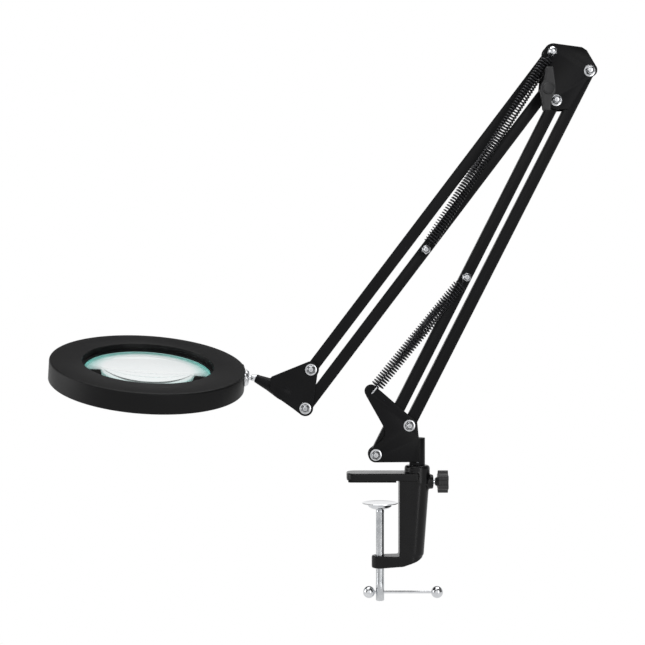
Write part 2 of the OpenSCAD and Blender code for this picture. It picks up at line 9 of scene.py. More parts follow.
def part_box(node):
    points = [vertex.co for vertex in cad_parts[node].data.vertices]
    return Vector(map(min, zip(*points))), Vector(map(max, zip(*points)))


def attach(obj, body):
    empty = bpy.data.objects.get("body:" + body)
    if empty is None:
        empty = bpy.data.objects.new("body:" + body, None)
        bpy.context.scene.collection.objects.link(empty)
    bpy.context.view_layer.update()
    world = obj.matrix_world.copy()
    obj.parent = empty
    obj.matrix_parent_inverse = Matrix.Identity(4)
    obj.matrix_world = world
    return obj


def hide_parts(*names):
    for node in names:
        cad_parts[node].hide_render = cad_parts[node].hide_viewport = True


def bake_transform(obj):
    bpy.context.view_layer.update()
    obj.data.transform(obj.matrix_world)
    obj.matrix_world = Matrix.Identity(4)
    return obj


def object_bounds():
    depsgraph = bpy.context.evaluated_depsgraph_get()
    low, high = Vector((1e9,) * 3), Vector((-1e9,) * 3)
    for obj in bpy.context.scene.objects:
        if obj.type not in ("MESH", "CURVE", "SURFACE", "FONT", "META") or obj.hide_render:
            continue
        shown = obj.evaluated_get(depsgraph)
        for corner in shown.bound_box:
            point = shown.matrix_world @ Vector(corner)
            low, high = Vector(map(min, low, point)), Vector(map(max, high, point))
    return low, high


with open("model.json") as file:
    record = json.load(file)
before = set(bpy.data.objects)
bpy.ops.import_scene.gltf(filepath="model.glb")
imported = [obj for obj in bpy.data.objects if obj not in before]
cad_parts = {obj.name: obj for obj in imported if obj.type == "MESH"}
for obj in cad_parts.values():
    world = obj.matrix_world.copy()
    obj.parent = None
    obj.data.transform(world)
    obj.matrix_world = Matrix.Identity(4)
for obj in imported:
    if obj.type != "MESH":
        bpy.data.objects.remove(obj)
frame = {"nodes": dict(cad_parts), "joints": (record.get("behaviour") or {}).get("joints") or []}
cad_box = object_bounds()

# ---- Camera, floor and lights ----
# A level camera stands in front of the lamp. The floor is a pale painted one, well below the clamp, and the
# lights are soft boxes: a large one overhead, one at the left, and a tall narrow one in front at the right.
CAMERA_PLACE = (-0.0558, -1.3, 0.1537)
VIEW_WIDTH = 0.6257
SENSOR = 36
FLOOR_DROP = 0.8
FLOOR_SHINE = 0.7
BACKDROP_GLOW = 1.0
ROOM_GLOW = 0.12
FRONT_GLOW = 0.85


def linear(code):
    """An sRGB hex colour as the linear values that a shader socket takes."""
    levels = [int(code[i:i + 2], 16) / 255 for i in (1, 3, 5)]
    return [c / 12.92 if c <= 0.04045 else ((c + 0.055) / 1.055) ** 2.4 for c in levels] + [1.0]


def add_node(tree, kind, sockets, **settings):
    """Adds a shader node, makes its settings, and fills or links its input sockets."""
    made = tree.nodes.new("ShaderNode" + kind)
    for key, value in settings.items():
        setattr(made, key, value)
    for key, value in sockets.items():
        if isinstance(value, bpy.types.NodeSocket):
            tree.links.new(value, made.inputs[key])
        else:
            made.inputs[key].default_value = value
    return made


def plainly_seen(tree, rays):
    """One where the camera looks straight at a surface, or at it through glass, and otherwise zero."""
    return add_node(tree, "Math", {0: rays.outputs["Is Camera Ray"], 1: rays.outputs["Is Transmission Ray"]},
                    operation="MAXIMUM").outputs[0]


camera_data = bpy.data.cameras.new("camera")
camera_data.sensor_width = SENSOR
camera_data.lens = SENSOR * -CAMERA_PLACE[1] / VIEW_WIDTH
camera = bpy.data.objects.new("camera", camera_data)
camera.location = CAMERA_PLACE
camera.rotation_euler = (pi / 2, 0, 0)
bpy.context.scene.collection.objects.link(camera)
bpy.context.scene.camera = camera
bpy.context.scene.view_settings.view_transform = "Standard"

bpy.ops.object.select_all(action="DESELECT")
bpy.ops.mesh.primitive_circle_add(vertices=96, radius=60, fill_type="NGON",
                                  location=(0, 0, cad_box[0].z - FLOOR_DROP))
floor = bpy.context.object
floor.name = "floor"

# A plain matt paint. It shows as even white, and bright metal mirrors it paler than it is lit
floor_paint = bpy.data.materials.new("pale_floor_paint")
floor_paint.use_nodes = True
tree = floor_paint.node_tree
rays = add_node(tree, "LightPath", {})
looked_at = plainly_seen(tree, rays)
paint = tree.nodes["Principled BSDF"]
paint.inputs["Base Color"].default_value = linear("#d6d6d6")
paint.inputs["Roughness"].default_value = 0.9
glow = add_node(tree, "Emission", {"Color": (1, 1, 1, 1), "Strength": 1.0})
mirrored = add_node(tree, "Math", {0: rays.outputs["Is Glossy Ray"], 1: FLOOR_SHINE},
                    operation="MULTIPLY").outputs[0]
shown = add_node(tree, "Math", {0: looked_at, 1: mirrored}, operation="MAXIMUM").outputs[0]
mixed = add_node(tree, "MixShader", {0: shown, 1: paint.outputs[0], 2: glow.outputs[0]})
tree.links.new(mixed.outputs[0], tree.nodes["Material Output"].inputs["Surface"])
floor.data.materials.append(floor_paint)

# The room is dim at the sides and overhead. Low down behind the lamp it is white, as a backdrop is, and it is
# fairly bright behind the camera. Where the camera looks straight at it, it shows as even white.
world = bpy.data.worlds.new("studio")
world.use_nodes = True
bpy.context.scene.world = world
tree = world.node_tree
rays = add_node(tree, "LightPath", {})
looked_at = plainly_seen(tree, rays)
direction = add_node(tree, "TexCoord", {}).outputs["Generated"]
parts = add_node(tree, "SeparateXYZ", {0: direction}).outputs
behind = add_node(tree, "MapRange", {0: parts["Y"], 1: 0.1, 2: 0.8},
                  interpolation_type="SMOOTHSTEP").outputs[0]
low = add_node(tree, "MapRange", {0: parts["Z"], 1: 0.48, 2: 0.16},
               interpolation_type="SMOOTHSTEP").outputs[0]
both = add_node(tree, "Math", {0: behind, 1: low}, operation="MULTIPLY").outputs[0]
room = add_node(tree, "MapRange", {0: both, 3: ROOM_GLOW, 4: BACKDROP_GLOW}).outputs[0]
ahead = add_node(tree, "MapRange", {0: parts["Y"], 1: -0.55, 2: -0.92, 4: FRONT_GLOW}).outputs[0]
lit = add_node(tree, "Math", {0: room, 1: ahead}, operation="ADD").outputs[0]
shown = add_node(tree, "Math", {0: lit, 1: looked_at}, operation="MAXIMUM").outputs[0]
tree.links.new(shown, tree.nodes["Background"].inputs["Strength"])
tree.nodes["Background"].inputs["Color"].default_value = (1, 1, 1, 1)

for name, place, target, size, power in [
    ("overhead_box", (-0.1, 0.1, 1.7), (-0.05, 0, 0.1), (2.0, 1.3), 24),
    ("left_box", (-1.6, -0.1, 0.45), (-0.2, 0, 0.12), (0.9, 1.3), 9),
    ("front_right_box", (0.85, -1.5, 0.3), (0.05, 0, 0.05), (0.4, 1.3), 5),
]:
    light_data = bpy.data.lights.new(name, "AREA")
    light_data.shape = "RECTANGLE"
    light_data.size, light_data.size_y = size
    light_data.energy = power
    light = bpy.data.objects.new(name, light_data)
    light.location = place
    light.rotation_euler = (Vector(target) - Vector(place)).to_track_quat("-Z", "Y").to_euler()
    bpy.context.scene.collection.objects.link(light)

# ---- Clamp casting ----
# A C-shaped zinc die casting that grips the table top. Its edges are rounded by the mould and it is stove
# enamelled black: a thick satin coat with a faint orange-peel skin.
MM = 0.001
CASTING_VOXEL = 0.55
CASTING_SMOOTHING = 22


def finish_of(name, shade, tint, patch, rough, grain, depth, metallic=0.0, specular=0.5):
    """A procedural finish. Its colour drifts from shade to tint, and its roughness between two values, over
    patches, and a grain stands up by the depth. Patch, grain and depth are in millimetres."""
    material = bpy.data.materials.new(name)
    material.use_nodes = True
    tree = material.node_tree
    shader = tree.nodes["Principled BSDF"]
    where = add_node(tree, "TexCoord", {}).outputs["Object"]
    drift = add_node(tree, "TexNoise", {"Vector": where, "Scale": 1 / (patch * MM), "Detail": 4.0}).outputs[0]
    spread = add_node(tree, "MapRange", {0: drift, 1: 0.35, 2: 0.65}).outputs[0]
    colour = add_node(tree, "Mix", {0: spread, 6: linear(shade), 7: linear(tint)}, data_type="RGBA")
    tree.links.new(colour.outputs[2], shader.inputs["Base Color"])
    scuffs = add_node(tree, "MapRange", {0: drift, 1: 0.3, 2: 0.7, 3: rough[0], 4: rough[1]})
    tree.links.new(scuffs.outputs[0], shader.inputs["Roughness"])
    skin = add_node(tree, "TexNoise", {"Vector": where, "Scale": 1 / (grain * MM), "Detail": 2.0}).outputs[0]
    bump = add_node(tree, "Bump", {"Height": skin, "Distance": depth * MM, "Strength": 1.0})
    tree.links.new(bump.outputs[0], shader.inputs["Normal"])
    shader.inputs["Metallic"].default_value = metallic
    shader.inputs["Specular IOR Level"].default_value = specular
    return material


def take_shape(node):
    """A copy of a CAD node to work on, its loose triangles merged and its flat faces made whole."""
    bpy.ops.object.select_all(action="DESELECT")
    piece = frame["nodes"][node].copy()
    piece.data = piece.data.copy()
    piece.parent = None
    for key in list(piece.keys()):
        del piece[key]
    bpy.context.scene.collection.objects.link(piece)
    bpy.context.view_layer.objects.active = piece
    piece.select_set(True)
    bpy.ops.mesh.customdata_custom_splitnormals_clear()
    bpy.ops.object.mode_set(mode="EDIT")
    bpy.ops.mesh.select_all(action="SELECT")
    bpy.ops.mesh.remove_doubles(threshold=0.002 * MM)
    bpy.ops.mesh.dissolve_limited(angle_limit=radians(0.4))
    bpy.ops.object.mode_set(mode="OBJECT")
    return piece


def change(piece, kind, **settings):
    """Gives a piece a modifier with these settings, and applies it."""
    bpy.context.view_layer.objects.active = piece
    modifier = piece.modifiers.new(kind.title(), kind)
    for key, value in settings.items():
        setattr(modifier, key, value)
    bpy.ops.object.modifier_apply(modifier=modifier.name)


def fit(piece, name, material, body, nodes=(), smooth=38):
    """Names a finished piece, paints and shades it, and puts it on its body in place of its CAD nodes."""
    piece.name = piece.data.name = name
    if material:
        piece.data.materials.clear()
        piece.data.materials.append(material)
    bpy.ops.object.select_all(action="DESELECT")
    piece.select_set(True)
    bpy.context.view_layer.objects.active = piece
    bpy.ops.object.shade_smooth_by_angle(angle=radians(smooth))
    if body:
        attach(piece, body)
    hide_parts(*nodes)
    return piece


stove_enamel = finish_of("stove_enamel", "#0f0f10", "#151516", 22, (0.22, 0.3), 1.1, 0.006, specular=0.24)

casting = take_shape("clamp_body")

# The column leans in towards its foot. Its half-round back runs smoothly into the flat sides beside the
# throat, and it is bored for the post and the lock screw.
COLUMN_R = 12.3
COLUMN_LEAN = radians(4.3)
COLUMN_FOOT, COLUMN_TOP = -70.5, 7.6
COLUMN_MEETS_POST = 8
FLAT_WIDTH = 11.8
POST_BORE_R = 6.06
LOCK_BORE_R = 2.56
TO_RIGHT = Matrix.Rotation(pi / 2, 4, "Y")
post_low, post_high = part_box("base_post")
post_x = round((post_low.x + post_high.x) / 2 / MM, 3)
knob_low, knob_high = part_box("lock_knob")
boss_z = round((knob_low.z + knob_high.z) / 2 / MM, 3)
column_height = COLUMN_TOP - COLUMN_FOOT
column_mid = (COLUMN_FOOT + COLUMN_TOP) / 2
column_x = post_x + (column_mid - COLUMN_MEETS_POST) * tan(COLUMN_LEAN)

bpy.ops.object.select_all(action="DESELECT")
bpy.ops.mesh.primitive_cylinder_add(vertices=96, radius=COLUMN_R * MM, depth=column_height * MM)
round_back = bpy.context.object
bpy.ops.object.select_all(action="DESELECT")
bpy.ops.mesh.primitive_cube_add(size=1, location=(-FLAT_WIDTH / 2 * MM, 0, 0))
flat_sides = bpy.context.object
flat_sides.scale = (FLAT_WIDTH * MM, 2 * COLUMN_R * MM, column_height * MM)
bpy.ops.object.transform_apply(location=True, rotation=True, scale=True)
column_parts = (round_back, flat_sides)
for part in column_parts:
    part.data.transform(Matrix.Translation((column_x * MM, 0, column_mid * MM))
                        @ Matrix.Rotation(COLUMN_LEAN, 4, "Y"))
for radius, length, place in (
    (POST_BORE_R, 84, Matrix.Translation((post_x * MM, 0, 9 * MM))),
    (LOCK_BORE_R, 30, Matrix.Translation(((post_x + 15) * MM, 0, boss_z * MM)) @ TO_RIGHT),
):
    bpy.ops.object.select_all(action="DESELECT")
    bpy.ops.mesh.primitive_cylinder_add(vertices=48, radius=radius * MM, depth=length * MM)
    bore = bpy.context.object
    bore.data.transform(place)
    for part in column_parts:
        change(part, "BOOLEAN", operation="DIFFERENCE", object=bore, solver="EXACT")
    bpy.data.objects.remove(bore)
bpy.ops.object.select_all(action="DESELECT")
for part in column_parts:
    part.select_set(True)
casting.select_set(True)
bpy.context.view_layer.objects.active = casting
bpy.ops.object.join()
change(casting, "REMESH", mode="VOXEL", voxel_size=CASTING_VOXEL * MM)
change(casting, "SMOOTH", factor=0.5, iterations=CASTING_SMOOTHING)
fit(casting, "clamp_casting", stove_enamel, "clamp", ["clamp_body"], smooth=60)

# A ribbed rubber pad is glued under the upper jaw, so that it doesn't mark the table
rubber = finish_of("moulded_rubber", "#161616", "#1e1e1e", 6, (0.72, 0.85), 0.7, 0.03, specular=0.3)
tree = rubber.node_tree
# The ribs are about 3 mm apart
where = tree.nodes["Texture Coordinate"].outputs["Object"]
ribs = add_node(tree, "TexWave", {"Vector": where, "Scale": 105.0}, bands_direction="X")
rib_bump = add_node(tree, "Bump", {"Height": ribs.outputs[1], "Distance": 0.4 * MM,
                                   "Normal": tree.nodes["Bump"].outputs[0]})
tree.links.new(rib_bump.outputs[0], tree.nodes["Principled BSDF"].inputs["Normal"])
pad = take_shape("jaw_pad")
change(pad, "BEVEL", width=0.35 * MM, segments=3, limit_method="ANGLE", angle_limit=radians(40))
fit(pad, "jaw_grip_pad", rubber, "clamp", ["jaw_pad"])

# ---- Pressure pad ----
# A pressed steel dish on the screw's end, bright chromium plated. Its rim is rolled over and its face is
# slightly hollow, and its bowl is spun round the screw's spigot so that the screw turns in it.
pad_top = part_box("pressure_pad")[1].z / MM


def turned(name, profile, place=Matrix(), sides=64, ring=False):
    """A turned shape. A disc, or an open hoop for a ring, starts at the profile's first radius and height, in
    millimetres. It is extruded and scaled to each next pair along its own Z axis, and then put in place."""
    bpy.ops.object.select_all(action="DESELECT")
    radius, height = profile[0]
    bpy.ops.mesh.primitive_circle_add(vertices=sides, radius=radius * MM, location=(0, 0, height * MM),
                                      fill_type="NOTHING" if ring else "NGON", enter_editmode=True)
    bpy.ops.mesh.select_mode(type="VERT")
    for (r_now, z_now), (r_next, z_next) in zip(profile, profile[1:]):
        bpy.ops.mesh.extrude_region_move(TRANSFORM_OT_translate={"value": (0, 0, (z_next - z_now) * MM)})
        bpy.ops.transform.resize(value=(r_next / r_now, r_next / r_now, 1), center_override=(0, 0, 0))
    bpy.ops.mesh.select_all(action="SELECT")
    bpy.ops.mesh.remove_doubles(threshold=0.002 * MM)
    bpy.ops.mesh.normals_make_consistent(inside=False)
    bpy.ops.object.mode_set(mode="OBJECT")
    bpy.ops.object.transform_apply(location=True, rotation=True, scale=True)
    piece = bpy.context.object
    piece.name = name
    piece.data.transform(place)
    return piece


chrome = finish_of("bright_chrome", "#d6d8db", "#e6e7e9", 9, (0.05, 0.1), 3, 0.001, metallic=1.0)

dish = turned("pressure_dish", [(radius, pad_top - drop) for radius, drop in (
    (3.2, 6.4), (5.2, 6.4), (6, 6.25), (8.4, 5.5), (10.6, 4.3), (11.5, 3.2), (12.1, 2), (12.8, 1.5),
    (14, 1.3), (17, 0.95), (17.35, 0.7), (17.35, 0.3), (17.1, 0.04), (16.6, 0), (16, 0.08), (13, 0.3),
    (3, 0.4), (0.5, 0.4))])
fit(dish, "pressure_dish", chrome, "pad", ["pressure_pad"])

# ---- Clamp screw and its bar ----
# An M8 steel screw, zinc plated and bright. The thread stops above the plain end, which is cross drilled for
# a sliding bar with a chrome ball pressed on each end.
SCREW_R = 4
THREAD_PITCH = 1.25
THREAD_TOP = -31
THREAD_LOW = -98
THREAD_CORE_R = 3.85
RIDGE_DEPTH, RIDGE_FOOT = 0.8, 1.05
RIDGE_TAPER = 0.72
SHOULDER_Z = -27.6
SPIGOT_TOP = -22.8
BAR_R = 1.35
screw_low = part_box("clamp_screw")[0].z / MM
bar_low, bar_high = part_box("tommy_bar")
bar_z = (bar_low.z + bar_high.z) / 2 / MM
zinc_bright = finish_of("bright_zinc_plate", "#bcbfc2", "#d2d4d6", 8, (0.14, 0.22), 1.5, 0.001, metallic=1.0)

shank = turned("clamp_screw_shank", [
    (2.8, screw_low), (3.6, screw_low + 0.25), (SCREW_R, screw_low + 1), (SCREW_R, THREAD_LOW - 0.6),
    (THREAD_CORE_R, THREAD_LOW), (THREAD_CORE_R, THREAD_TOP), (SCREW_R, THREAD_TOP + 0.6),
    (SCREW_R, SHOULDER_Z - 0.5), (3.6, SHOULDER_Z), (3, SHOULDER_Z), (3, SPIGOT_TOP - 0.1), (1, SPIGOT_TOP)])
bar_axis = Matrix.Translation((0, 0, bar_z * MM)) @ TO_RIGHT
drill = turned("cross_drill", [(BAR_R + 0.1, -8), (BAR_R + 0.1, 8)], bar_axis, sides=32)
change(shank, "BOOLEAN", operation="DIFFERENCE", object=drill, solver="EXACT")
bpy.data.objects.remove(drill)

# The thread is one ridge of trapezoid section, wound round the core
bpy.ops.object.select_all(action="DESELECT")
bpy.ops.mesh.primitive_plane_add(size=1, rotation=(pi / 2, 0, 0), enter_editmode=True)
bpy.ops.transform.resize(value=(RIDGE_DEPTH * MM, 1, RIDGE_FOOT * MM))
bpy.ops.transform.translate(value=((SCREW_R - 0.4) * MM, 0, THREAD_LOW * MM))
bpy.ops.mesh.select_mode(type="VERT")
bpy.ops.mesh.delete(type="ONLY_FACE")
bpy.ops.object.mode_set(mode="OBJECT")
bpy.ops.object.transform_apply(location=True, rotation=True, scale=True)
ridge = bpy.context.object
for vertex in ridge.data.vertices:
    if vertex.co.x > (SCREW_R - 0.3) * MM:
        vertex.co.z += (THREAD_LOW * MM - vertex.co.z) * RIDGE_TAPER
change(ridge, "SCREW", screw_offset=THREAD_PITCH * MM, steps=24, render_steps=24, use_merge_vertices=False,
       iterations=int((THREAD_TOP - THREAD_LOW) / THREAD_PITCH), use_normal_calculate=True)
bpy.ops.object.select_all(action="DESELECT")
ridge.select_set(True)
shank.select_set(True)
bpy.context.view_layer.objects.active = shank
bpy.ops.object.join()
fit(shank, "threaded_screw", zinc_bright, "screw", ["clamp_screw"], smooth=50)

x_left, x_right = bar_low.x / MM, bar_high.x / MM
bar = turned("sliding_bar", [(1.1, x_left), (BAR_R, x_left + 0.3), (BAR_R, x_right - 0.3), (1.1, x_right)],
             bar_axis, sides=32)
fit(bar, "sliding_bar", chrome, "tommy", ["tommy_bar"])


def ball_profile(radius, middle, neck):
    """Half circle from one neck to the other, with a narrow flat land round each neck."""
    reach = asin(neck / radius)
    steps = 20
    turns = [reach + k * (pi - 2 * reach) / steps for k in range(steps + 1)]
    arc = [(radius * sin(a), middle - radius * cos(a)) for a in turns]
    return [(neck * 0.72, arc[0][1])] + arc + [(neck * 0.72, arc[-1][1])]


ball_r = (bar_low.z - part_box("tommy_balls")[0].z) / MM + BAR_R
for side, x in (("left", x_left), ("right", x_right)):
    ball = turned("ball", ball_profile(ball_r, x, 1.9), bar_axis, sides=48)
    fit(ball, "bar_ball_" + side, chrome, "tommy", ["tommy_balls"])

# ---- Lock screw and its knob ----
# A six-lobed knob of glass-filled nylon is moulded onto a plated screw. Turned in, the screw presses on the
# swivel post. The nylon is dark grey with a soft sheen.
lock_axis = Matrix.Translation((0, 0, boss_z * MM)) @ TO_RIGHT
nylon = finish_of("moulded_nylon", "#29292a", "#313132", 9, (0.36, 0.46), 0.6, 0.012, specular=0.4)

knob = take_shape("lock_knob")
change(knob, "REMESH", mode="VOXEL", voxel_size=0.3 * MM)
change(knob, "SMOOTH", factor=0.5, iterations=5)
fit(knob, "lobed_knob", nylon, "lock", ["lock_knob"], smooth=60)

screw_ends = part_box("lock_screw")
lock = turned("lock", [(1.9, screw_ends[0].x / MM), (2.5, screw_ends[0].x / MM + 0.7),
                       (2.5, screw_ends[1].x / MM - 1), (2.2, screw_ends[1].x / MM - 0.6)],
              lock_axis, sides=32)
fit(lock, "lock_screw_stem", zinc_bright, "lock", ["lock_screw"])

# ---- Swivel base ----
# Two cheeks of pressed steel sheet, powder coated black, are welded to a sleeve on the steel post that turns
# in the clamp. The coat is satin, and a little thinner on the cut edges, which catch the light.
powder_coat = finish_of("powder_coat", "#101011", "#161618", 26, (0.36, 0.46), 0.9, 0.012, specular=0.13)
steel = finish_of("ground_steel", "#85888b", "#a2a5a8", 4, (0.24, 0.38), 0.5, 0.006, metallic=1.0)

base = take_shape("base_bracket")
change(base, "BEVEL", width=0.32 * MM, segments=2, limit_method="ANGLE", angle_limit=radians(40))
fit(base, "base_cheeks", powder_coat, "base", ["base_bracket"])

sleeve = take_shape("base_sleeve")
change(sleeve, "BEVEL", width=0.8 * MM, segments=3, limit_method="ANGLE", angle_limit=radians(50))
fit(sleeve, "post_sleeve", powder_coat, "base", ["base_sleeve"])

post = turned("post", [
    (4.8, post_low.z / MM), (6, post_low.z / MM + 1.2), (6, -8), (5.2, -7), (5.2, 5.5), (6, 6.5),
    (6, post_high.z / MM)], Matrix.Translation((post_x * MM, 0, 0)), sides=48)
fit(post, "swivel_post", steel, "base", ["base_post"])

# ---- Arm bars ----
# Four square tubes of thin steel, drawn with small round corners, cut and drilled at the ends, and powder
# coated. Steel bushes keep their walls apart on the pivot bolts.
for node in ["lower_outer_bar", "lower_inner_bar", "upper_top_bar", "upper_bottom_bar"]:
    tube = take_shape(node)
    change(tube, "BEVEL", width=0.7 * MM, segments=3, limit_method="ANGLE", angle_limit=radians(50))
    fit(tube, node.replace("bar", "tube"), powder_coat, node.removesuffix("_bar"), [node])
for node in ["lower_outer_bushes", "lower_inner_bushes", "upper_top_bushes", "upper_bottom_bushes"]:
    frame["nodes"][node].data.materials.clear()
    frame["nodes"][node].data.materials.append(steel)

# ---- Pivot fasteners ----
# M5 bolts with round heads behind, flat washers and nylon-insert lock nuts in front, all zinc plated: a
# pale, slightly cloudy metal. The nylon ring in each nut is dark.
PIVOT = {joint["name"]: Vector(joint["pos_m"]) for joint in frame["joints"] if "pos_m" in joint}
base_out, base_in, top_out = PIVOT["lower_arm"], PIVOT["lower_link"], PIVOT["elbow_level"]
elbow_up, elbow_low, head_low = PIVOT["upper_link"], PIVOT["upper_arm"], PIVOT["head_level"]
top_in = base_in + top_out - base_out
head_up = head_low + elbow_up - elbow_low
TO_FRONT = Matrix.Rotation(pi / 2, 4, "X")
zinc = finish_of("zinc_plate", "#c2c4c7", "#dcdddf", 4, (0.16, 0.26), 0.8, 0.002, metallic=1.0)
nut_nylon = finish_of("nut_nylon", "#26272a", "#303136", 2, (0.4, 0.55), 0.4, 0.01)


def join(pieces):
    """Makes one mesh of several pieces, each keeping its own material."""
    bpy.ops.object.select_all(action="DESELECT")
    for piece in pieces:
        piece.select_set(True)
    bpy.context.view_layer.objects.active = pieces[0]
    bpy.ops.object.join()
    return pieces[0]


def hex_block(radius, low, high, bore=0.0, crown=0.42):
    """A hexagon bar from low to high, its corners turned down over the crown's height at the high end and a
    little at the low one, as on a nut or a bolt head."""
    bpy.ops.object.select_all(action="DESELECT")
    bpy.ops.mesh.primitive_cylinder_add(vertices=6, radius=radius * MM, depth=(high - low) * MM,
                                        location=(0, 0, (high + low) / 2 * MM))
    bpy.ops.object.transform_apply(location=True, rotation=True, scale=True)
    block = bpy.context.object
    barrel = turned("barrel", [(radius - 0.75, low), (radius + 0.02, low + 0.42),
                               (radius + 0.02, high - crown), (radius - 0.75, high)])
    change(block, "BOOLEAN", operation="INTERSECT", object=barrel, solver="EXACT")
    bpy.data.objects.remove(barrel)
    if bore:
        drill = turned("drill", [(bore, low - 1), (bore, high + 1)])
        change(block, "BOOLEAN", operation="DIFFERENCE", object=drill, solver="EXACT")
        bpy.data.objects.remove(drill)
    return block


def repeat(piece, place):
    """Another of the same piece, with its own mesh, put in its place."""
    made = piece.copy()
    made.data = piece.data.copy()
    made.data.transform(place)
    bpy.context.scene.collection.objects.link(made)
    return made


NUT_R = 4.62
ROUND_HEAD = [(1.1, -10.45), (2.6, -10.4), (3.7, -10), (4.4, -9.2), (4.62, -8.3), (4.62, -7.75), (4.4, -7.55),
              (2.5, -7.55)]
plain_washer = turned("washer", [
    (2.6, 7.52), (5.35, 7.52), (5.6, 7.7), (5.6, 8.3), (5.35, 8.48), (2.85, 8.48), (2.6, 8.3), (2.6, 7.52)],
    ring=True)
nut_body = hex_block(NUT_R, 0, 3.3, bore=2.55, crown=1.9)
nut_collar = turned("collar", [
    (3.05, 3.1), (3.87, 3.1), (3.8, 3.7), (3.6, 4.2), (3.3, 4.5), (3.1, 4.6), (3.0, 4.45), (3.0, 3.1)],
    ring=True)
nut_ring = turned("nylon", [(2.5, 3.1), (3.02, 3.1), (3.02, 4.3), (2.7, 4.35), (2.5, 4.2), (2.5, 3.1)],
                  ring=True)
for part, metal in ((nut_body, zinc), (nut_collar, zinc), (nut_ring, nut_nylon)):
    part.data.materials.append(metal)
lock_nut = join([nut_body, nut_collar, nut_ring])
pivot_bolt = turned("bolt", ROUND_HEAD + [(2.5, 12.9), (2.1, 13.35), (0.95, 13.4), (0.6, 12.9)])

# Each nut was tightened to its own angle
for label, body, stem, points in [
    ("base", "base", "base", (base_out, base_in)),
    ("elbow", "elbow", "elbow", (top_out, top_in)),
    ("bracket", "head_bracket", "bracket", (head_up, head_low)),
]:
    for end, point in zip(("outer", "inner"), points):
        place = Matrix.Translation(point) @ TO_FRONT
        fit(repeat(plain_washer, place), f"{label}_{end}_washer", zinc, body, [stem + "_washers"])
        fit(repeat(pivot_bolt, place), f"{label}_{end}_bolt", zinc, body, [stem + "_bolts"])
        turn = Matrix.Rotation(radians(17 + 300 * point.x), 4, "Z") @ Matrix.Translation((0, 0, 8.5 * MM))
        fit(repeat(lock_nut, place @ turn), f"{label}_{end}_nut", None, body, [stem + "_nuts"])

# ---- Spring anchor bolts ----
# One M5 bolt through the middle of two of the bars, with a hexagon head behind, spacer tubes on both sides of
# the bar, and a lock nut in front. The springs' eyes turn between spacer and nut.
ANCHOR_OUT = 14.65
ANCHOR_END = 19.25
SPACER_OUT = 12.55
BAR_HALF = 5.5


def spacer_tube(low, place=Matrix()):
    """A short tube on a bolt, from low to the springs' eyes, with its corners broken."""
    return turned("spacer", [
        (2.5, low), (3.8, low), (4, low + 0.2), (4, SPACER_OUT - 0.2), (3.8, SPACER_OUT), (2.5, SPACER_OUT),
        (2.5, low)], place, ring=True)


spacer = spacer_tube(BAR_HALF)
anchor_head = hex_block(NUT_R, -ANCHOR_OUT - 3, -ANCHOR_OUT)
anchor_shaft = turned("shaft", [(2.5, -ANCHOR_OUT - 0.5), (2.5, ANCHOR_END - 0.5), (2.1, ANCHOR_END - 0.02),
                                (0.95, ANCHOR_END), (0.6, ANCHOR_END - 0.5)])
anchor_bolt = join([anchor_head, anchor_shaft])
anchor = {}
for stem, body in (("lower_spring", "lower_inner"), ("upper_spring", "upper_bottom")):
    low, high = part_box(stem + "_bolt")
    anchor[stem] = Vector(((low.x + high.x) / 2, 0, (low.z + high.z) / 2))
    place = Matrix.Translation(anchor[stem]) @ TO_FRONT
    for end, flip in (("front", 0), ("back", pi)):
        fit(repeat(spacer, place @ Matrix.Rotation(flip, 4, "X")), f"{stem}_{end}_spacer", zinc, body,
            [stem + "_spacers"])
    fit(repeat(anchor_bolt, place), stem + "_anchor_bolt", zinc, body, [stem + "_bolt"])
    lift = Matrix.Translation((0, 0, ANCHOR_OUT * MM)) @ Matrix.Diagonal((1, 1, 0.87, 1))
    fit(repeat(lock_nut, place @ lift), stem + "_anchor_nut", None, body, [stem + "_nut"])
for used in (plain_washer, lock_nut, pivot_bolt, spacer, anchor_bolt):
    bpy.data.objects.remove(used)

# ---- Springs ----
# Two pairs of extension springs carry the arms' weight. They are cold wound from music wire and blackened, so
# that the wire keeps a dark metallic gleam, and their plated hooks go through the base bracket's tip.
WIRE_R = 0.65
COIL_R = 5.1
PITCH = 2.9
HOOK = 9
EYE_R = 3.5
SPRING_Y = 13.5
STEPS = 14
LEAD = 1.4
HOOK_WIRE_R = 0.8
HOOK_BEND = 2
HOOK_END_Y = 5.9
spring_wire = finish_of("blackened_wire", "#29292b", "#3a3a3d", 3, (0.18, 0.27), 0.5, 0.002, metallic=0.9)


def bent_wire(name, points, radius):
    """Round wire of that radius in millimetres, bent along the points, with closed ends."""
    line = bpy.data.curves.new(name, "CURVE")
    line.dimensions = "3D"
    line.bevel_depth = radius * MM
    line.bevel_resolution = 2
    line.use_fill_caps = True
    path = line.splines.new("POLY")
    path.points.add(len(points) - 1)
    for spot, point in zip(path.points, points):
        spot.co = (*point, 1)
    piece = bpy.data.objects.new(name, line)
    bpy.context.scene.collection.objects.link(piece)
    bpy.ops.object.select_all(action="DESELECT")
    piece.select_set(True)
    bpy.context.view_layer.objects.active = piece
    bpy.ops.object.convert(target="MESH")
    return bpy.context.object


def spring_frame(start, end, y):
    """Maps (run, out, across) in millimetres to a point: run goes from start to end, across goes along Y."""
    run = (end - start).normalized()
    out = run.cross(Vector((0, 1, 0)))
    return lambda r, o, a: start + (run * r + out * o + Vector((0, y + a, 0))) * MM


def eye_arc(radius, from_deg, to_deg, count=20):
    """Part of a loop round a bolt, as (run, out, across)."""
    angles = [radians(from_deg + (to_deg - from_deg) * k / count) for k in range(count + 1)]
    return [(radius * cos(a), radius * sin(a), 0) for a in angles]


